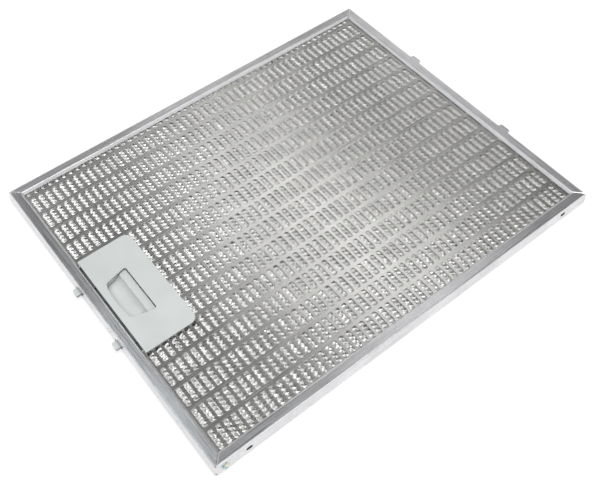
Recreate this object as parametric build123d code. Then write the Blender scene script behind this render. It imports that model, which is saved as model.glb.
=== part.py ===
"""Cooker hood grease filter.

A folded aluminium strip frames a slotted face sheet and a pack of pleated expanded mesh.
A spring latch in a moulded pocket at one short end holds the filter in the hood.
Millimetres. X runs along the length with the latch at -X, Z runs up to the slotted face.
"""
import os
from math import atan2, degrees, hypot
from build123d import *

# Frame: one strip, folded to a channel and bent round four mitred corners
frame_length = 320.0      # over the feet of the two short walls, before rounding
frame_width = 260.0       # over the feet of the two long walls, before rounding
frame_height = 9.0
strip_thickness = 0.6
wall_lean = 1.7           # each wall leans in by this much from foot to top
top_flange = 7.8
back_flange = 8.0
lip_depth = 2.6           # the top flange turns down to the face sheet
lip_slope = 1.4           # the lip runs in by this much on its way down
fold_radius = 1.0
mitre_gap = 0.3
mitre_groove_width = 1.5  # the sheared edges of the top flange roll down into each mitre
mitre_groove_depth = 0.45
corner_relief = 1.6       # cut off the foot of each corner, along the diagonal

# Holes punched in the strip
drain_length = 4.5
drain_width = 2.2
drain_spacing = 270.0
drain_height = 4.9
pin_hole_diameter = 1.3
pin_hole_height = 5.6
pin_pair_spacing = 22.7   # between the two pairs on the latch wall
pin_pitch = 2.8           # between the two holes of a pair
end_hole_offset = -90.0   # single hole further along the latch wall

# Lugs: tabs lanced from the wall opposite the latch and bent level with the flange
lug_width = 9.0
lug_reach = 2.4
lug_corner = 1.5
lug_spacing = 96.4
lug_shift = -1.3

# Rivet that closes the strip at one corner
rivet_from_corner = 8.0
rivet_height = 4.6
rivet_shank_diameter = 3.0
rivet_head_diameter = 5.0
rivet_head_height = 0.8
rivet_head_chamfer = 0.5
rivet_tail = 1.0
rivet_clearance = 0.05

# Face sheet: rows of slots, with bands between rows and bars between slots
sheet_thickness = 0.6
sheet_tuck = 5.0          # how far the sheet and the mesh reach under the flange
slot_width = 3.5
slot_length = 14.3
slot_pitch = 5.54         # along X
row_pitch = 17.0          # along Y
slot_shift = -0.86        # the stock's slot grid is not centred in the frame
row_shift = -2.8
band_ease = 0.04          # every other band stands this much clear of the bars under it

# Mesh pack: pleated expanded foil, each layer crossed with the next
mesh_layers = 4
mesh_foil = 0.3
pleat_pitch = 16.0
back_layer_height = 1.0   # the back layer runs on under the latch pocket

# Latch cover: a moulded plate on the face sheet with a finger window and a skirt under its edge
latch_shift = 2.5         # the latch sits a little off the middle of its wall
cover_width = 39.2        # along X
cover_length = 86.5       # along Y
cover_thickness = 1.3
cover_corner = 5.3        # at the two corners away from the lip
cover_lip_corner = 0.6
cover_gap = 0.8           # between the lip and the cover
cover_lap = 2.5           # how far the cover lies over the face sheet
window_inset = 4.4
window_width = 18.7
window_length = 40.2      # at the grip
window_arc_length = 32.4  # at the arched side
window_bulge = 1.7
window_corner = 1.6
window_arc_corner = 3.5
skirt_wall = 0.8
skirt_notch = 1.2         # the skirt stops this far short of the grip

# Latch slider: a finger dish and its grip bar in the window, two arms and two tongues
pull_gap = 0.3            # between the window and the dish and grip that fill it
grip_width = 5.6
grip_rounding = 0.6
dish_thickness = 0.9
scoop_run = 5.5           # the grip's face is hollowed down to the dish's floor over this length
crossbar_width = 6.5
arm_width = 9.0
arm_thickness = 1.8
tongue_spacing = 50.0
tongue_width = 6.0
tongue_reach = 2.9        # past the foot of the wall
tongue_rounding = 0.8

# Latch pocket and spring
tray_wall = 1.2
tray_floor = 0.8
tray_gap = 0.3            # between the pocket and the frame's wall
notch_gap = 0.5           # between the pocket and the cut edges of sheet and mesh
slide_gap = 0.2           # above and below the slider
side_gap = 0.3            # beside the slider's arms and tongues
stop_gap = 0.1            # between the slider's shoulders and their stop
strip_slot_gap = 1.2      # beside each tongue in the frame's wall
rail_width = 1.2
rail_height = 2.0
spring_strip = 0.35
spring_height = 1.8
spring_span = 48.0
spring_gap = 0.1

# Heights and edges that several pieces share
sheet_top = frame_height - lip_depth
sheet_bottom = sheet_top - sheet_thickness
pack_bottom = strip_thickness
upper_layer_height = (sheet_bottom - pack_bottom - back_layer_height) / (mesh_layers - 1)
opening_length = frame_length - 2 * (wall_lean + top_flange)
opening_width = frame_width - 2 * (wall_lean + top_flange)
sheet_length = opening_length + 2 * sheet_tuck
sheet_width = opening_width + 2 * sheet_tuck
wall_angle = degrees(atan2(wall_lean, frame_height))
wall_slant = strip_thickness * hypot(1, wall_lean / frame_height)

cover_start = cover_gap - opening_length / 2
cover_end = cover_start + cover_width
tray_bottom = pack_bottom + back_layer_height
tray_start = wall_lean * sheet_top / frame_height + wall_slant + tray_gap - frame_length / 2
tray_end = cover_end - cover_lap
tray_length = cover_length - 2 * cover_lap
slider_bottom = tray_bottom + tray_floor + slide_gap
slider_top = slider_bottom + arm_thickness
window_start = cover_start + window_inset
window_end = window_start + window_width
grip_end = window_end - pull_gap
grip_start = grip_end - grip_width
crossbar_end = grip_start + crossbar_width


def span_box(x, y, z):
    """Box between two limits on each axis."""
    size = Box(x[1] - x[0], y[1] - y[0], z[1] - z[0], align=Align.MIN)
    return Pos(x[0], y[0], z[0]) * size


def corner_places():
    """The four foot corners, with local X along the diagonal towards the middle of the frame."""
    half_length = frame_length / 2
    half_width = frame_width / 2
    corners = [(-half_length, -half_width), (half_length, -half_width)]
    corners += [(half_length, half_width), (-half_length, half_width)]
    return [Pos(x, y, 0) * Rot(0, 0, 45 + 90 * turn) for turn, (x, y) in enumerate(corners)]


def on_near_wall(x, height):
    """A place on the outer face of the long wall at -Y, with local Z along its outward normal."""
    lean_here = wall_lean * height / frame_height
    return Pos(x, lean_here - frame_width / 2, height) * Rot(90 - wall_angle, 0, 0)


def on_latch_wall(y, height):
    """A place on the outer face of the short wall at -X, with local Z along its outward normal."""
    lean_here = wall_lean * height / frame_height
    return Pos(lean_here - frame_length / 2, y, height) * Rot(0, wall_angle - 90, 0)


def rivet_place():
    return on_near_wall(rivet_from_corner - frame_length / 2, rivet_height)


def frame_strip():
    """The channel section swept round the outline, with mitred corners and the lip trimmed to the sheet."""
    inner_edge = wall_lean + top_flange
    trim = strip_thickness * lip_slope / lip_depth / hypot(lip_slope, lip_depth)
    lip_end = (inner_edge - trim * lip_slope, sheet_top + trim * lip_depth)
    fold_line = FilletPolyline(
        lip_end, (inner_edge - lip_slope, frame_height), (wall_lean, frame_height),
        (0, 0), (back_flange, 0), radius=fold_radius,
    )
    section = make_face(offset(fold_line, strip_thickness, side=Side.LEFT))
    start_plane = Plane((0, -frame_width / 2, 0), x_dir=(0, 1, 0), z_dir=(1, 0, 0))
    path = Polyline(
        (0, -frame_width / 2), (frame_length / 2, -frame_width / 2), (frame_length / 2, frame_width / 2),
        (-frame_length / 2, frame_width / 2), (-frame_length / 2, -frame_width / 2), close=True,
    )
    return sweep(start_plane * section, path=path, transition=Transition.RIGHT)


def corner_cuts():
    """Mitre slits in both flanges with a groove over the upper one, and the relief at each corner's foot."""
    slit_start = (wall_lean + fold_radius + strip_thickness) * 2 ** 0.5
    slit_end = (max(back_flange, wall_lean + top_flange) + fold_radius) * 2 ** 0.5
    full_height = (-fold_radius, frame_height + fold_radius)
    slit = span_box((slit_start, slit_end), (-mitre_gap / 2, mitre_gap / 2), full_height)
    groove_half = mitre_groove_width / 2
    groove_bottom = frame_height - mitre_groove_depth
    groove_line = Polyline(
        (-groove_half, frame_height), (0, groove_bottom), (groove_half, frame_height), close=True,
    )
    groove_start = wall_lean * 2 ** 0.5
    groove = Pos(groove_start, 0, 0) * extrude(Plane.YZ * make_face(groove_line), slit_end - groove_start)
    relief = span_box((-corner_relief, corner_relief), (-back_flange, back_flange), full_height)
    return [place * cut for place in corner_places() for cut in (slit, groove, relief)]


def wall_holes():
    """Drain and rivet holes in the near long wall, and pin holes and tongue slots in the latch wall."""
    punch = 4 * strip_thickness
    drain = extrude(SlotOverall(drain_length, drain_width), punch / 2, both=True)
    cuts = [on_near_wall(side * drain_spacing / 2, drain_height) * drain for side in (-1, 1)]
    pin = Cylinder(pin_hole_diameter / 2, punch)
    pin_places = [pair * pin_pair_spacing / 2 + hole * pin_pitch / 2 for pair in (-1, 1) for hole in (-1, 1)]
    cuts += [on_latch_wall(y, pin_hole_height) * pin for y in pin_places + [end_hole_offset]]
    slot_depth = 2 * (wall_lean + wall_slant)
    slot = Box(slot_depth, tongue_width + 2 * strip_slot_gap, arm_thickness + 2 * slide_gap)
    slot_height = (slider_bottom + slider_top) / 2
    for side in (-1, 1):
        cuts.append(Pos(-frame_length / 2, latch_shift + side * tongue_spacing / 2, slot_height) * slot)
    cuts.append(rivet_place() * Cylinder(rivet_shank_diameter / 2 + rivet_clearance, punch))
    return cuts


def lug_tab():
    """A tab level with the top flange, standing out of the wall, in the place of one lug."""
    root = top_flange / 2
    blank = RectangleRounded(root + lug_reach, lug_width, lug_corner)
    wall_top = frame_length / 2 - wall_lean
    return Pos(wall_top + (lug_reach - root) / 2, 0, frame_height) * extrude(blank, -strip_thickness)


def lug_window():
    """The opening that a lanced lug leaves in the wall below it."""
    low = frame_height - strip_thickness - lug_reach
    high = frame_height - strip_thickness
    reach = wall_lean + wall_slant
    wall_top = frame_length / 2 - wall_lean
    return span_box((wall_top - reach, wall_top + reach), (-lug_width / 2, lug_width / 2), (low, high))


def frame():
    strip = frame_strip() - corner_cuts() - wall_holes()
    for side in (-1, 1):
        place = Pos(0, lug_shift + side * lug_spacing / 2, 0)
        strip = strip - place * lug_window() + place * lug_tab()
    return strip


def corner_rivet():
    """Flat rivet with a bevelled head outside, its shank through the strip and a set tail inside."""
    head = extrude(Circle(rivet_head_diameter / 2), rivet_head_height)
    head = chamfer(head.edges().group_by(Axis.Z)[-1], rivet_head_chamfer)
    shank = extrude(Circle(rivet_shank_diameter / 2), -strip_thickness - rivet_tail)
    return rivet_place() * (head + shank)


def pocket_notch(low, high):
    """The space that the latch pocket takes out of a layer, open to the edge under the frame."""
    half = tray_length / 2 + notch_gap
    limits = (latch_shift - half, latch_shift + half)
    return span_box((-frame_length / 2, tray_end + notch_gap), limits, (low, high))


def front_sheet():
    """Slotted sheet: bands across the upper half of the thickness, bars along the lower half."""
    columns = int(opening_length // slot_pitch)
    rows = int(opening_width // row_pitch)
    half = sheet_thickness / 2
    middle = Pos(slot_shift, row_shift, sheet_bottom + half)
    blank = Pos(0, 0, sheet_bottom + half) * Rectangle(sheet_length, sheet_width)
    row_window = Rectangle((columns - 1) * slot_pitch + slot_width, slot_length)
    column_gap = Rectangle(slot_width, (rows - 1) * row_pitch + slot_length)
    row_windows = [middle * place * row_window for place in GridLocations(1, row_pitch, 1, rows)]
    column_gaps = [middle * place * column_gap for place in GridLocations(slot_pitch, 1, columns, 1)]
    bands = extrude(blank - row_windows, half)
    bars = extrude(blank - column_gaps, -half)
    band = Rectangle((columns - 1) * slot_pitch + slot_width, row_pitch - slot_length)
    for number in range(0, rows - 1, 2):
        place = middle * Pos(0, (number - (rows - 2) / 2) * row_pitch)
        bands -= extrude(place * band, band_ease)
    notch = pocket_notch(sheet_bottom, sheet_top)
    return (bands - notch) + (bars - notch)


def mesh_layer(low, height, along_length):
    """Zigzag pleats of foil across the pack: the ridges run along Y, or along X when along_length is set."""
    run = sheet_width if along_length else sheet_length
    ridge = sheet_length if along_length else sheet_width
    folds = 2 * int(run // pleat_pitch)
    step = run / folds
    rise = height - mesh_foil
    lower = [(fold * step - run / 2, low + rise * (fold % 2)) for fold in range(folds + 1)]
    upper = [(x, z + mesh_foil) for x, z in reversed(lower)]
    section = make_face(Polyline(*lower, *upper, close=True))
    layer = extrude(Plane.XZ * section, ridge / 2, both=True)
    return Rot(0, 0, 90) * layer if along_length else layer


def mesh_pack():
    """Layers from the back to the face sheet: all but the back one are cut out round the latch pocket."""
    layers = [mesh_layer(pack_bottom, back_layer_height, False)]
    notch = pocket_notch(tray_bottom, sheet_bottom)
    for number in range(mesh_layers - 1):
        low = tray_bottom + number * upper_layer_height
        layers.append(mesh_layer(low, upper_layer_height, number % 2 == 0) - notch)
    return layers


def finger_window():
    """Outline of the window: straight at the grip, arched at the other side, with slanting ends."""
    arc_side = window_start + window_bulge
    half = window_length / 2
    arc_half = window_arc_length / 2
    edges = [
        Polyline((arc_side, -arc_half), (window_end, -half), (window_end, half), (arc_side, arc_half)),
        ThreePointArc((arc_side, arc_half), (window_start, 0), (arc_side, -arc_half)),
    ]
    outline = make_face(edges)
    outline = fillet(outline.vertices().group_by(Axis.X)[-1], window_corner)
    arc_ends = outline.vertices().filter_by(lambda corner: abs(corner.X - arc_side) < window_bulge / 2)
    return fillet(arc_ends, window_arc_corner)


def latch_cover():
    """Plate with its window, and a skirt that stands on the pocket's floor round the finger dish."""
    plate = Pos((cover_start + cover_end) / 2, 0) * Rectangle(cover_width, cover_length)
    plate = fillet(plate.vertices().group_by(Axis.X)[-1], cover_corner)
    plate = fillet(plate.vertices().group_by(Axis.X)[0], cover_lip_corner)
    window = finger_window()
    cover = Pos(0, 0, sheet_top) * extrude(plate - window, cover_thickness)
    skirt_low = tray_bottom + tray_floor
    skirt = Pos(0, 0, skirt_low) * extrude(offset(window, skirt_wall) - window, sheet_top - skirt_low)
    skirt_run = (cover_start, grip_start - skirt_notch)
    skirt &= span_box(skirt_run, (-cover_length / 2, cover_length / 2), (skirt_low, sheet_top))
    return Pos(0, latch_shift, 0) * (cover + skirt)


def finger_pull():
    """Dish and grip bar in one: the level floor curves up to the grip's edge, inside the window."""
    floor = slider_bottom + dish_thickness
    high = sheet_top - slide_gap
    scoop_start = (grip_start - scoop_run, floor)
    edge = (grip_start, high)
    sides = Polyline(
        edge, (grip_end, high), (grip_end, slider_bottom),
        (window_start, slider_bottom), (window_start, floor), scoop_start,
    )
    scoop = TangentArc(scoop_start, edge, tangent=(1, 0))
    bar = extrude(Plane.XZ * make_face([sides, scoop]), window_length / 2, both=True)
    bar = fillet(bar.edges().group_by(Axis.Z)[-1].filter_by(Axis.Y), grip_rounding)
    outline = offset(finger_window(), -pull_gap)
    return bar & Pos(0, 0, slider_bottom) * extrude(outline, high - slider_bottom)


def latch_slider():
    """Crossbar with the finger pull on it, and an arm on each side that ends in a narrower tongue."""
    half = (tongue_spacing + arm_width) / 2
    slab = (slider_bottom, slider_top)
    slider = span_box((grip_start, crossbar_end), (-half, half), slab)
    shoulder = tray_start + tray_wall + stop_gap
    tip = -frame_length / 2 - tongue_reach
    for side in (-1, 1):
        middle = side * tongue_spacing / 2
        slider += span_box((shoulder, grip_end), (middle - arm_width / 2, middle + arm_width / 2), slab)
        tongue = span_box((tip, shoulder), (middle - tongue_width / 2, middle + tongue_width / 2), slab)
        tongue = fillet(tongue.edges().filter_by(Axis.Z).group_by(Axis.X)[0], tongue_rounding)
        slider += tongue
    return Pos(0, latch_shift, 0) * (slider + finger_pull())


def latch_tray():
    """Open pocket with slots for the tongues and two rails that guide the arms."""
    half = tray_length / 2
    inside = (tray_start + tray_wall, tray_end - tray_wall)
    tray = span_box((tray_start, tray_end), (-half, half), (tray_bottom, sheet_top))
    tray -= span_box(inside, (tray_wall - half, half - tray_wall), (tray_bottom + tray_floor, sheet_top))
    slot_half = tongue_width / 2 + side_gap
    slot_limits = (tray_bottom + tray_floor, slider_top + slide_gap)
    rail_low = tray_bottom + tray_floor
    rail_start = (tongue_spacing + arm_width) / 2 + side_gap
    for side in (-1, 1):
        middle = side * tongue_spacing / 2
        tray -= span_box((tray_start, inside[0]), (middle - slot_half, middle + slot_half), slot_limits)
        edges = sorted((side * rail_start, side * (rail_start + rail_width)))
        tray += span_box((inside[0], grip_end), edges, (rail_low, rail_low + rail_height))
    return Pos(0, latch_shift, 0) * tray


def latch_spring():
    """Bow of spring strip: its ends bear on the pocket's end wall and its crown on the crossbar."""
    ends = tray_end - tray_wall - spring_gap
    crown = crossbar_end + spring_gap
    bow = ThreePointArc((ends, -spring_span / 2), (crown + spring_strip, 0), (ends, spring_span / 2))
    strip = make_face(offset(bow, spring_strip, side=Side.LEFT))
    return Pos(0, latch_shift, slider_bottom) * extrude(strip, spring_height)


pieces = {
    "frame": frame(),
    "corner_rivet": corner_rivet(),
    "front_sheet": front_sheet(),
    "latch_cover": latch_cover(),
    "latch_slider": latch_slider(),
    "latch_tray": latch_tray(),
    "latch_spring": latch_spring(),
}
for number, layer in enumerate(mesh_pack(), start=1):
    pieces[f"mesh_layer_{number}"] = layer

# The origin lies under the middle of the whole outline, tongues, lugs and rivet included
outline = Compound(list(pieces.values())).bounding_box()
to_origin = Pos(-outline.center().X, -outline.center().Y, -outline.min.Z)
os.makedirs("parts", exist_ok=True)
for name, solid in pieces.items():
    export_step(to_origin * solid, f"parts/{name}.step")
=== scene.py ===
import math
import bpy
import numpy as np
from mathutils import Matrix, Vector


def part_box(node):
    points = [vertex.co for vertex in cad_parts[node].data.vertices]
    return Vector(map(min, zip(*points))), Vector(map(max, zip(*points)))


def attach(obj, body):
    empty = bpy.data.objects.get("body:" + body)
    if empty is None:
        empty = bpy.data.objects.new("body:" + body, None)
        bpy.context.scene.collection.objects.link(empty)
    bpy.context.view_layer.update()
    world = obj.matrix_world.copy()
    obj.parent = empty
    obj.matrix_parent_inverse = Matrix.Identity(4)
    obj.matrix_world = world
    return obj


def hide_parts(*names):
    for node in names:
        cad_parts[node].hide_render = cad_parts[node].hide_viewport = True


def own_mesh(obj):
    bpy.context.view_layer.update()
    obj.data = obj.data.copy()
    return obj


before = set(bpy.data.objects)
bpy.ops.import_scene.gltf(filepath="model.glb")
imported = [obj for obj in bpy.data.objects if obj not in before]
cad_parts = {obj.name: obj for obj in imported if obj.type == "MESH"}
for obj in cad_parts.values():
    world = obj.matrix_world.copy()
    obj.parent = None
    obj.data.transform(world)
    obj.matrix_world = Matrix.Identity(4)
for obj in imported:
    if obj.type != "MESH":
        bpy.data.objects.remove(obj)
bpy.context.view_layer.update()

bpy.context.scene.view_settings.view_transform = "Standard"

# Frame: one strip of rolled aluminium, folded to a channel and bent round four mitred corners.
# The bare metal keeps its rolling lines along each side, and is a little cloudy from handling.
sheet_low, sheet_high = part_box("front_sheet")
filter_middle = (sheet_low + sheet_high) / 2
half_sheet = (sheet_high - sheet_low) / 2
fold_radius = 0.0002


def new_finish(name):
    """A fresh material, with its node tree, its surface shader and the place of each point on the piece."""
    finish = bpy.data.materials.new(name)
    finish.use_nodes = True
    tree = finish.node_tree
    place = tree.nodes.new("ShaderNodeTexCoord").outputs["Object"]
    return finish, tree, tree.nodes["Principled BSDF"], place


def set_inputs(tree, node, inputs):
    """Gives each input of a node its value, or a link from the output that feeds it."""
    for name, value in inputs.items():
        if isinstance(value, bpy.types.NodeSocket):
            tree.links.new(value, node.inputs[name])
        else:
            node.inputs[name].default_value = value


def add_node(tree, kind, inputs, **options):
    """A shader node with its options and inputs set. Inputs that share a name are given by number."""
    made = tree.nodes.new(kind)
    for name, value in options.items():
        setattr(made, name, value)
    set_inputs(tree, made, inputs)
    return made


def combine(tree, operation, one, other):
    """One amount from two: their sum, product, larger one or comparison."""
    return add_node(tree, "ShaderNodeMath", {0: one, 1: other}, operation=operation).outputs[0]


def combine_vectors(tree, operation, one, other):
    """One place or direction from two."""
    return add_node(tree, "ShaderNodeVectorMath", {0: one, 1: other}, operation=operation).outputs[0]


def past_sheet_edge(tree, place):
    """How far a place lies past the front sheet's edge along X and along Y, below 0 inside it."""
    centred = combine_vectors(tree, "SUBTRACT", place, filter_middle)
    size = add_node(tree, "ShaderNodeVectorMath", {0: centred}, operation="ABSOLUTE").outputs[0]
    axes = add_node(tree, "ShaderNodeSeparateXYZ", {0: combine_vectors(tree, "SUBTRACT", size, half_sheet)})
    return axes.outputs["X"], axes.outputs["Y"]


def grain(tree, place, lines_per_metre, detail=2.0):
    """Streaks in the metal: noise that is drawn out by a different number of lines along each axis."""
    drawn = add_node(tree, "ShaderNodeMapping", {"Vector": place, "Scale": lines_per_metre}).outputs[0]
    streaks = add_node(tree, "ShaderNodeTexNoise", {"Vector": drawn, "Scale": 1.0, "Detail": detail})
    return streaks.outputs["Fac"]


def spread(tree, amount, low, high):
    """Maps a noise value, which stays near a half, to the range from low to high."""
    noise_low = 0.3
    noise_high = 0.7
    ends = {"Value": amount, "From Min": noise_low, "From Max": noise_high, "To Min": low, "To Max": high}
    return add_node(tree, "ShaderNodeMapRange", ends).outputs[0]


def two_tones(tree, amount, darker, lighter):
    """The colour of each point, from the darker tone at an amount of 0 to the lighter one at 1."""
    ramp = add_node(tree, "ShaderNodeValToRGB", {"Fac": amount})
    ramp.color_ramp.elements[0].color = (*darker, 1)
    ramp.color_ramp.elements[1].color = (*lighter, 1)
    return ramp.outputs["Color"]


def relief(tree, height, strength, depth):
    """The tilt of the surface where a pattern stands a little proud of it."""
    raised = add_node(tree, "ShaderNodeBump", {"Height": height, "Strength": strength, "Distance": depth})
    return raised.outputs["Normal"]


def across_lines(tree, line_run):
    """The direction on each face across its rolling lines, along which they draw out the gloss."""
    face = add_node(tree, "ShaderNodeNewGeometry", {}).outputs["Normal"]
    return combine_vectors(tree, "CROSS_PRODUCT", face, line_run)


def strip_aluminium():
    finish, tree, surface, place = new_finish("strip_aluminium")
    past_x, past_y = past_sheet_edge(tree, place)
    on_short_side = combine(tree, "GREATER_THAN", past_x, past_y)
    along_x = grain(tree, place, (30, 2600, 2600))
    along_y = grain(tree, place, (2600, 30, 2600))
    sides = {"Factor": on_short_side, "A": along_x, "B": along_y}
    lines = add_node(tree, "ShaderNodeMix", sides).outputs[0]
    runs = {0: on_short_side, 4: (1, 0, 0), 5: (0, 1, 0)}
    line_run = add_node(tree, "ShaderNodeMix", runs, data_type="VECTOR").outputs[1]
    clouds = grain(tree, place, (60, 60, 60), detail=4.0)
    specks = grain(tree, place, (1100, 1100, 1100), detail=1.0)
    tone = combine(tree, "ADD", spread(tree, lines, 0.0, 0.6), spread(tree, clouds, 0.0, 0.4))
    tone = combine(tree, "ADD", tone, spread(tree, specks, -0.35, 0.35))
    set_inputs(tree, surface, {
        "Base Color": two_tones(tree, tone, (0.60, 0.60, 0.61), (0.84, 0.84, 0.85)),
        "Metallic": 1.0,
        "Roughness": spread(tree, lines, 0.25, 0.36),
        "Anisotropic": 0.5,
        "Tangent": across_lines(tree, line_run),
        "Normal": relief(tree, lines, strength=0.25, depth=0.00004),
    })
    return finish


def soften_edges(piece, radius):
    """Joins a piece's faces and rounds its edges, as the fold or the mould leaves them."""
    joined = piece.modifiers.new("joined", "WELD")
    joined.merge_threshold = 0.000002
    rounded = piece.modifiers.new("rounded", "BEVEL")
    rounded.width = radius
    rounded.segments = 3
    rounded.limit_method = "ANGLE"
    rounded.angle_limit = math.radians(40)
    rounded.harden_normals = True


soften_edges(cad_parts["frame"], fold_radius)
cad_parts["frame"].material_slots[0].material = strip_aluminium()

# Corner rivet: a small aluminium rivet that closes the strip at the corner beside the latch.
# Its passivated skin shows a blue and straw tint.
rivet_blue = (0.14, 0.36, 0.62)
rivet_straw = (0.95, 0.86, 0.45)


def passivated_skin():
    finish, tree, surface, place = new_finish("passivated_skin")
    patches = spread(tree, grain(tree, place, (500, 500, 500), detail=1.0), 0.0, 1.0)
    set_inputs(tree, surface, {
        "Base Color": two_tones(tree, patches, rivet_blue, rivet_straw),
        "Metallic": 1.0,
        "Roughness": 0.25,
    })
    return finish


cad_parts["corner_rivet"].material_slots[0].material = passivated_skin()

# Mesh pack: four layers of expanded aluminium foil, slit and pulled out into leaning strands.
# Each layer is pleated and crossed with the next, and the upper three are cut away round the latch pocket.
foil_gauge = 0.00012
pleat_pitch = 0.016
uneven_lean = math.radians(3)
largest_stray = 2 * uneven_lean
tray_low, tray_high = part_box("latch_tray")
pocket_gap = Vector((0.001, 0.0035, 0))
pocket_cut = (tray_low - pocket_gap, tray_high + pocket_gap)


def bright_foil():
    """Bare foil, with a matte share for the many small facets that the slitting leaves on each strand."""
    finish, tree, surface, place = new_finish("bright_foil")
    crumple = grain(tree, place, (700, 700, 700))
    tone = spread(tree, crumple, 0.0, 1.0)
    set_inputs(tree, surface, {
        "Base Color": two_tones(tree, tone, (0.92, 0.915, 0.90), (0.98, 0.975, 0.96)),
        "Metallic": 0.65,
        "Roughness": spread(tree, crumple, 0.14, 0.24),
        "Normal": relief(tree, crumple, strength=0.22, depth=0.0003),
    })
    return finish


def mesh_object(name, points, faces):
    """A new object in the scene from points and faces."""
    data = bpy.data.meshes.new(name)
    data.from_pydata(points, [], faces)
    data.update()
    made = bpy.data.objects.new(name, data)
    bpy.context.scene.collection.objects.link(made)
    return made


def expanded_layer(node, layer_seed, long_way, short_way, strand_width, leans, pleats_along_x, pocket):
    """One pleated layer: rows of bonds, each joined to the next row by two strands that lean and twist."""
    low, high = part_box(node)
    columns = int((high.x - low.x) / long_way) + 2
    rows = int(2 * (high.y - low.y) / short_way)
    column, row = np.meshgrid(np.arange(columns), np.arange(rows))
    column = column.ravel()
    row = row.ravel()
    bond = np.stack([low.x + (column + 0.5 * (row % 2)) * long_way, low.y + row * short_way / 2], axis=1)
    start = np.concatenate([bond, bond])
    end = np.concatenate([bond + (side * long_way / 2, short_way / 2) for side in (-1, 1)])
    rim = strand_width / 2
    inside = np.ones(len(start), bool)
    for point in (start, end):
        for axis in (0, 1):
            inside &= (point[:, axis] > low[axis] + rim) & (point[:, axis] < high[axis] - rim)
        if pocket is not None:
            level_with_pocket = (point[:, 1] > pocket[0].y) & (point[:, 1] < pocket[1].y)
            inside &= ~(level_with_pocket & (point[:, 0] < pocket[1].x))
    start = start[inside]
    end = end[inside]

    run_axis = 1 if pleats_along_x else 0
    run = high[run_axis] - low[run_axis]
    half_pleat = run / (2 * int(run / pleat_pitch))
    strand_height = strand_width * math.sin(math.radians(max(leans)) + largest_stray) + foil_gauge
    swing = (high.z - low.z - strand_height) / 2

    def pleated(point):
        """Flat points, lifted to the wave of the pleats."""
        turn = math.pi * (point[:, run_axis] - low[run_axis]) / half_pleat
        return np.column_stack([point, (low.z + high.z) / 2 - swing * np.cos(turn)])

    start = pleated(start)
    end = pleated(end)
    wander = np.random.default_rng(layer_seed).normal(0, uneven_lean, len(start))
    wander = wander.clip(-largest_stray, largest_stray)
    corners = []
    for point, lean in ((start, leans[0]), (end, leans[1])):
        tilt = math.radians(lean) + wander
        facing = np.column_stack([np.zeros(len(tilt)), -np.sin(tilt), np.cos(tilt)])
        across = np.cross(facing, end - start)
        across *= strand_width / 2 / np.linalg.norm(across, axis=1)[:, None]
        thick = facing * foil_gauge / 2
        for side, face in ((-1, -1), (1, -1), (1, 1), (-1, 1)):
            corners.append(point + side * across + face * thick)
    points = np.stack(corners, axis=1).reshape(-1, 3)
    ends_of_strand = [[0, 1, 2, 3], [7, 6, 5, 4]]
    sides_of_strand = [[0, 4, 5, 1], [1, 5, 6, 2], [2, 6, 7, 3], [3, 7, 4, 0]]
    first_corner = np.arange(len(start))[:, None, None] * len(corners)
    faces = (first_corner + np.array(ends_of_strand + sides_of_strand)).reshape(-1, 4)
    return mesh_object(node + "_strands", points.tolist(), faces.tolist())


# Each layer's long and short way of its openings, strand width, leans in degrees at the two ends of a strand,
# whether its pleats run along X, and what is cut away.
mesh_layers = {
    "mesh_layer_1": (0.0068, 0.0040, 0.0017, (18, 8), False, None),
    "mesh_layer_2": (0.0072, 0.0042, 0.0018, (34, 20), True, pocket_cut),
    "mesh_layer_3": (0.0068, 0.0040, 0.0017, (36, 22), False, pocket_cut),
    "mesh_layer_4": (0.0057, 0.0034, 0.0014, (50, 16), True, pocket_cut),
}
foil_finish = bright_foil()
for layer_seed, (layer_node, layer_sizes) in enumerate(mesh_layers.items()):
    layer = expanded_layer(layer_node, layer_seed, *layer_sizes)
    layer.data.materials.append(foil_finish)
    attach(layer, "filter")
    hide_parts(layer_node)

# Front sheet: thin aluminium punched with rows of round-ended slots, laid on the mesh under the frame's lip.
# It is cut from slotted stock, so the last row and the last column run on under the flange.
# A notch leaves room for the latch pocket, and a slot that is cut short keeps a narrow rim.
slot_width = 0.0035
slot_length = 0.0143
slot_pitch = 0.00554
row_pitch = 0.0170
slot_columns = 55
slot_rows = 15
grid_shift_x = 0.00191
grid_shift_y = 0.0057
grid_start_x = filter_middle.x + grid_shift_x - slot_columns * slot_pitch / 2
grid_start_y = filter_middle.y + grid_shift_y - slot_rows * row_pitch / 2
cut_rim = 0.0008
cut_end = 0.00035
end_steps = 8
end_fullness = 0.7
notch_gap = 0.0005
notch_low = tray_low.y - notch_gap
notch_high = tray_high.y + notch_gap
notch_columns = 7
punched_round = 0.00012


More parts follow.
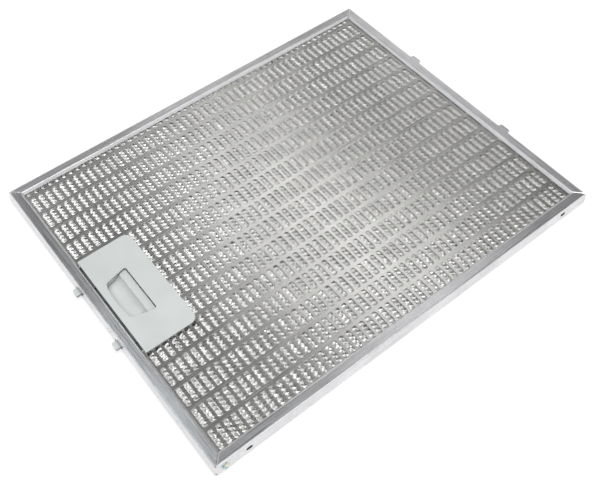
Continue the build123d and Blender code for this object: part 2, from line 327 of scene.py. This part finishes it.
def slotted_sheet():
    """The flat upper face: a cell round each slot, cells left out at the notch, and a plain border."""
    points = []
    places = {}
    faces = []

    def corner(x, y):
        """The point at one place, which all cells that meet there share."""
        key = (round(x, 7), round(y, 7))
        if key not in places:
            places[key] = len(points)
            points.append((x, y, sheet_high.z))
        return places[key]

    def slot_end(x, y, height, first_turn):
        """Points round one end of a slot, from first_turn on for half a turn."""
        made = []
        for step in range(end_steps + 1):
            turn = math.pi * (first_turn + step / end_steps)
            across = math.copysign(abs(math.cos(turn)) ** end_fullness, math.cos(turn))
            along = math.copysign(abs(math.sin(turn)) ** end_fullness, math.sin(turn))
            made.append(len(points))
            points.append((x + slot_width / 2 * across, y + height * along, sheet_high.z))
        return made

    edges_x = [grid_start_x + column * slot_pitch for column in range(slot_columns + 1)]
    edges_y = [grid_start_y + row * row_pitch for row in range(slot_rows)] + [sheet_high.y - cut_rim]
    beside_notch = [low < notch_high and high > notch_low for low, high in zip(edges_y, edges_y[1:])]
    first_notch_row = beside_notch.index(True)
    last_notch_row = first_notch_row + sum(beside_notch) - 1
    web = (row_pitch - slot_length) / 2
    half = end_steps // 2
    for column in range(slot_columns):
        left, right = edges_x[column], edges_x[column + 1]
        middle = (left + right) / 2
        for row in range(slot_rows):
            low, high = edges_y[row], edges_y[row + 1]
            slot_low = low + web
            slot_high = min(slot_low + slot_length, high - cut_rim)
            upper_height = slot_width / 2
            lower_height = slot_width / 2
            if beside_notch[row] and column < notch_columns:
                if row == first_notch_row:
                    high = notch_low
                    slot_high = min(slot_high, high - cut_rim)
                elif row == last_notch_row:
                    low = notch_high
                    slot_low = low + cut_rim
                    lower_height = cut_end
                else:
                    continue
            notch_corner = []
            if column == notch_columns and row == first_notch_row:
                notch_corner = [corner(left, notch_low)]
            if column == notch_columns and row == last_notch_row:
                notch_corner = [corner(left, notch_high)]
            upper = slot_end(middle, slot_high - upper_height, upper_height, 0)
            lower = slot_end(middle, slot_low + lower_height, lower_height, 1)
            top_right, top_left = corner(right, high), corner(left, high)
            low_left, low_right = corner(left, low), corner(right, low)
            for arc, first, second in ((upper, top_right, top_left), (lower, low_left, low_right)):
                for step in range(end_steps):
                    faces.append((first if step < half else second, arc[step + 1], arc[step]))
                faces.append((first, second, arc[half]))
            faces.append((top_left, *notch_corner, low_left, lower[0], upper[-1]))
            faces.append((low_right, top_right, upper[0], lower[-1]))

    bottom = [corner(x, edges_y[0]) for x in edges_x]
    top = [corner(x, edges_y[-1]) for x in edges_x]
    right_side = [corner(edges_x[-1], y) for y in edges_y]
    left_low = [corner(edges_x[0], y) for y in edges_y if y < notch_low] + [corner(edges_x[0], notch_low)]
    left_high = [corner(edges_x[0], notch_high)] + [corner(edges_x[0], y) for y in edges_y if y > notch_high]
    near_left = corner(sheet_low.x, sheet_low.y)
    near_right = corner(sheet_high.x, sheet_low.y)
    far_right = corner(sheet_high.x, sheet_high.y)
    far_left = corner(sheet_low.x, sheet_high.y)
    faces.append((near_left, near_right, *reversed(bottom)))
    faces.append((near_right, far_right, *reversed(right_side)))
    faces.append((far_right, far_left, *top))
    faces.append((near_left, *left_low, corner(sheet_low.x, notch_low)))
    faces.append((corner(sheet_low.x, notch_high), *left_high, far_left))
    return mesh_object("slotted_sheet", points, faces)


def sheet_aluminium():
    finish, tree, surface, place = new_finish("sheet_aluminium")
    lines = grain(tree, place, (40, 2200, 2200))
    clouds = grain(tree, place, (45, 45, 45), detail=3.0)
    tone = combine(tree, "ADD", spread(tree, lines, 0.0, 0.5), spread(tree, clouds, 0.0, 0.5))
    set_inputs(tree, surface, {
        "Base Color": two_tones(tree, tone, (0.56, 0.555, 0.54), (0.82, 0.815, 0.795)),
        "Metallic": 1.0,
        "Roughness": spread(tree, lines, 0.22, 0.32),
        "Anisotropic": 0.6,
        "Tangent": across_lines(tree, (1, 0, 0)),
        "Normal": relief(tree, lines, strength=0.2, depth=0.00003),
    })
    return finish


sheet = slotted_sheet()
gauge = sheet.modifiers.new("gauge", "SOLIDIFY")
gauge.thickness = sheet_high.z - sheet_low.z
punched_edge = sheet.modifiers.new("punched_edge", "BEVEL")
punched_edge.width = punched_round
punched_edge.segments = 1
punched_edge.limit_method = "ANGLE"
punched_edge.angle_limit = math.radians(60)
sheet.data.materials.append(sheet_aluminium())
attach(sheet, "filter")
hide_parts("front_sheet")

# Latch pocket: a moulded tray under the cover that keeps the mesh off the slider.
# Tray, slider and cover are the same pale grey plastic, with the faint texture of the mould.
tray_grey = (0.60, 0.63, 0.62)
corner_reach = 0.004


def moulded_plastic(name, colour, painted_edge_shade=1.0, painted_corner_shade=1.0):
    """Satin plastic. Shades below 1 darken it with painted shade where an edge turns over and in corners and
    recesses.
    """
    finish, tree, surface, place = new_finish(name)
    texture = grain(tree, place, (3000, 3000, 3000))
    flow = spread(tree, grain(tree, place, (40, 40, 40)), 0.0, 1.0)
    darker = [0.94 * part for part in colour]
    lighter = [1.04 * part for part in colour]
    flowed = two_tones(tree, flow, darker, lighter)
    facing = add_node(tree, "ShaderNodeNewGeometry", {}).outputs["Normal"]
    upward = add_node(tree, "ShaderNodeSeparateXYZ", {0: facing}).outputs["Z"]
    # Painted shade: level faces and upright walls keep their colour, and what turns between them is darkened
    # to the painted edge shade.
    edge = add_node(tree, "ShaderNodeValToRGB", {"Fac": upward})
    edge.color_ramp.elements[0].color = (1, 1, 1, 1)
    edge.color_ramp.elements[1].position = 0.99
    for position in (0.25, 0.85):
        edge.color_ramp.elements.new(position).color = (painted_edge_shade, painted_edge_shade, painted_edge_shade, 1)
    tones = {0: 1.0, 6: flowed, 7: edge.outputs["Color"]}
    shaded = add_node(tree, "ShaderNodeMix", tones, data_type="RGBA", blend_type="MULTIPLY").outputs[2]
    # Painted shade: where little of the room around a point is open, as in a corner or recess, its colour
    # darkens towards the corner shade.
    reach = {"Distance": corner_reach}
    open_share = add_node(tree, "ShaderNodeAmbientOcclusion", reach, samples=8).outputs["AO"]
    corner_shade_range = {"Value": open_share, "From Min": 0.4, "To Min": painted_corner_shade}
    unshaded_share = add_node(tree, "ShaderNodeMapRange", corner_shade_range).outputs[0]
    corner_shaded = add_node(tree, "ShaderNodeVectorMath", {0: shaded, "Scale": unshaded_share}, operation="SCALE")
    set_inputs(tree, surface, {
        "Base Color": corner_shaded.outputs[0],
        "Roughness": spread(tree, texture, 0.42, 0.52),
        "Normal": relief(tree, texture, strength=0.12, depth=0.00005),
    })
    return finish


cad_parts["latch_tray"].material_slots[0].material = moulded_plastic("tray_plastic", tray_grey)

# Latch spring: a bow of bright spring strip between the pocket's end wall and the slider.
# It pushes the tongues out through the frame, and flattens as the slider is drawn back.
spring_low, spring_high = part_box("latch_spring")
spring_strip = 0.00035
spring_steps = 24


def bowed_strip():
    """A flat strip bent to an arc, with its crown at the slider and its ends at the pocket's end wall."""
    half_chord = (spring_high.y - spring_low.y) / 2
    rise = spring_high.x - spring_low.x - spring_strip
    radius = (half_chord ** 2 + rise ** 2) / (2 * rise)
    half_turn = math.asin(half_chord / radius)
    middle = Vector((spring_low.x + radius, (spring_low.y + spring_high.y) / 2, 0))
    points = []
    for step in range(spring_steps + 1):
        turn = half_turn * (2 * step / spring_steps - 1)
        outward = Vector((-math.cos(turn), math.sin(turn), 0))
        for reach in (radius, radius - spring_strip):
            for height in (spring_low.z, spring_high.z):
                points.append(middle + reach * outward + Vector((0, 0, height)))
    faces = [(0, 2, 3, 1), tuple(4 * spring_steps + corner for corner in (0, 1, 3, 2))]
    for step in range(spring_steps):
        for one, other in ((0, 1), (1, 3), (3, 2), (2, 0)):
            faces.append((4 * step + one, 4 * step + other, 4 * step + 4 + other, 4 * step + 4 + one))
    return mesh_object("bowed_spring", points, faces)


def spring_steel():
    finish, tree, surface, place = new_finish("spring_steel")
    lines = spread(tree, grain(tree, place, (3000, 60, 3000)), 0.0, 1.0)
    set_inputs(tree, surface, {
        "Base Color": two_tones(tree, lines, (0.42, 0.42, 0.44), (0.62, 0.62, 0.64)),
        "Metallic": 1.0,
        "Roughness": 0.3,
    })
    return finish


spring = bowed_strip()
spring.data.materials.append(spring_steel())
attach(spring, "filter")
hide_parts("latch_spring")
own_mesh(spring)

# Latch slider: one moulding of a scooped finger pull, two arms and the two tongues that lock the filter in.
# It slides in the pocket against the spring, and its pull shows in the cover's window.
slider_grey = (0.68, 0.71, 0.70)
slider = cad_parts["latch_slider"]
# The slider's dish gets a painted shade in its corners and along its walls.
slider.material_slots[0].material = moulded_plastic("slider_plastic", slider_grey, painted_corner_shade=0.6)

# Latch cover: a moulded plate that lies on the front sheet, with the finger window and a skirt round it.
# It snaps into the pocket's rim, so no screw shows.
cover_grey = (0.67, 0.70, 0.69)
mould_radius = 0.0004
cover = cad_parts["latch_cover"]
soften_edges(cover, mould_radius)
# The cover's rounded edges get a painted shade, a dark line where each edge turns over.
cover.material_slots[0].material = moulded_plastic("cover_plastic", cover_grey, painted_edge_shade=0.3)

# Studio floor: a wide sheet of white paper that the filter lies on.
# It looks white to the camera and in the metal, keeps a faint shadow under the filter, and under the front
# sheet its glow is left out as a painted shadow.
half_floor = 4.0
floor_height = -0.0002
paper_corners = ((-1, -1), (1, -1), (1, 1), (-1, 1))
floor_points = [(x * half_floor, y * half_floor, floor_height) for x, y in paper_corners]
floor = mesh_object("studio_floor", floor_points, [(0, 1, 2, 3)])


def seen_directly(tree):
    """An amount that is 1 where the camera, a reflection or a transmission looks at the studio."""
    path = add_node(tree, "ShaderNodeLightPath", {})
    seen = path.outputs["Is Camera Ray"]
    for kind in ("Is Glossy Ray", "Is Transmission Ray"):
        seen = combine(tree, "MAXIMUM", seen, path.outputs[kind])
    return seen


def white_paper():
    """Paper that glows in what is seen directly, except where the filter covers it, where the missing glow is
    a painted shadow.
    """
    finish, tree, surface, place = new_finish("white_paper")
    tree.nodes.remove(surface)
    past_x, past_y = past_sheet_edge(tree, place)
    # Painted shadow: the glow stops at the front sheet's edges, so the paper under the filter stays dark.
    outside_painted_shadow = combine(tree, "GREATER_THAN", combine(tree, "MAXIMUM", past_x, past_y), 0.0)
    brightness = combine(tree, "MULTIPLY", outside_painted_shadow, seen_directly(tree))
    paper = add_node(tree, "ShaderNodeBsdfDiffuse", {"Color": (0.35, 0.35, 0.35, 1)})
    glow = add_node(tree, "ShaderNodeEmission", {"Color": (0.75, 0.75, 0.75, 1), "Strength": brightness})
    both = add_node(tree, "ShaderNodeAddShader", {0: paper.outputs[0], 1: glow.outputs[0]})
    set_inputs(tree, tree.nodes["Material Output"], {"Surface": both.outputs[0]})
    return finish


floor.data.materials.append(white_paper())

# Studio room: white walls that the metal mirrors low down, under a darker ceiling.
# The walls are only for what is seen directly, and the room's own light on the filter is an even grey.
room = bpy.data.worlds.new("studio_room")
bpy.context.scene.world = room
room.use_nodes = True
room_tree = room.node_tree
room_tree.nodes.clear()
plain_light = (0.25, 0.25, 0.25, 1)
ceiling_grey = (0.08, 0.08, 0.083)
wall_white = (1, 1, 1)
far_corner = (0.6, 0.8, 0)


def wall(amount, start, full, least=0.0, most=1.0):
    """How white the room is, from least where the wall starts to most where it is full."""
    ends = {"Value": amount, "From Min": start, "From Max": full, "To Min": least, "To Max": most}
    return add_node(room_tree, "ShaderNodeMapRange", ends).outputs[0]


direction = add_node(room_tree, "ShaderNodeTexCoord", {}).outputs["Generated"]
room_axes = add_node(room_tree, "ShaderNodeSeparateXYZ", {0: direction})
towards_back = add_node(
    room_tree, "ShaderNodeVectorMath", {0: direction, 1: far_corner}, operation="DOT_PRODUCT").outputs["Value"]
far_end = wall(towards_back, 0.2, 0.6, least=1.0, most=0.7)
low_walls = wall(room_axes.outputs["Z"], 0.62, 0.55, most=far_end)
back_wall = wall(room_axes.outputs["Y"], 0.70, 0.78)
front_wall = wall(towards_back, 0.04, -0.2, most=0.8)
walls = combine(room_tree, "MAXIMUM", combine(room_tree, "MAXIMUM", low_walls, back_wall), front_wall)
wall_tones = two_tones(room_tree, walls, ceiling_grey, wall_white)
room_tones = {0: seen_directly(room_tree), 6: plain_light, 7: wall_tones}
room_light = add_node(room_tree, "ShaderNodeMix", room_tones, data_type="RGBA").outputs[2]
room_shade = add_node(room_tree, "ShaderNodeBackground", {"Color": room_light, "Strength": 1.0})
add_node(room_tree, "ShaderNodeOutputWorld", {"Surface": room_shade.outputs[0]})

# Lamps: soft boxes of plain light that hang over the filter and point at its middle.
# The back and middle ones give the sheen on the front sheet, the key and window ones the gleam of the strands,
# and the side one lights the far flange. The top one lights the plastic and leaves no image in the metal.


def softbox(name, place, width, height, power):
    """A soft lamp at one place, turned to the middle of the floor."""
    lamp = bpy.data.lights.new(name, "AREA")
    lamp.shape = "RECTANGLE"
    lamp.size = width
    lamp.size_y = height
    lamp.energy = power
    made = bpy.data.objects.new(name, lamp)
    made.location = place
    made.rotation_euler = (-Vector(place)).to_track_quat("-Z", "Y").to_euler()
    bpy.context.scene.collection.objects.link(made)
    return made


softbox("back_softbox", (0.58, 0.95, 1.45), width=0.42, height=0.45, power=0.85)
softbox("middle_softbox", (0.76, 0.50, 1.45), width=0.5, height=0.4, power=0.85)
softbox("key_softbox", (0, -0.475, 1.5), width=1.5, height=0.95, power=6.4)
window_softbox = softbox("window_softbox", (-0.42, 0.58, 1.45), width=0.4, height=0.5, power=2.2)
window_softbox.data.color = (0.92, 0.97, 1.0)
softbox("side_softbox", (1.75, 1.30, 1.45), width=0.6, height=0.6, power=1.1)
top_softbox = softbox("top_softbox", (0.25, 0.1, 1.6), width=0.4, height=0.4, power=11.5)
top_softbox.visible_glossy = False

# Camera: it looks down on the latch corner, as the photograph does.
# Its place, aim, roll and lens put the four corners of the frame where the photograph has them.
camera_place = Vector((-0.214591, -0.287357, 0.461518))
camera_aim = Vector((-0.021662, -0.033810, 0.009))
camera_roll = math.radians(-1.222)
lens = bpy.data.cameras.new("camera")
lens.lens = 49.04
lens.sensor_width = 36.0
camera = bpy.data.objects.new("camera", lens)
looking = (camera_aim - camera_place).normalized()
level = looking.cross(Vector((0, 0, 1))).normalized()
upright = level.cross(looking)
right = math.cos(camera_roll) * level + math.sin(camera_roll) * upright
up = math.cos(camera_roll) * upright - math.sin(camera_roll) * level
camera.matrix_world = Matrix.Translation(camera_place) @ Matrix((right, up, -looking)).transposed().to_4x4()
bpy.context.scene.collection.objects.link(camera)
bpy.context.scene.camera = camera
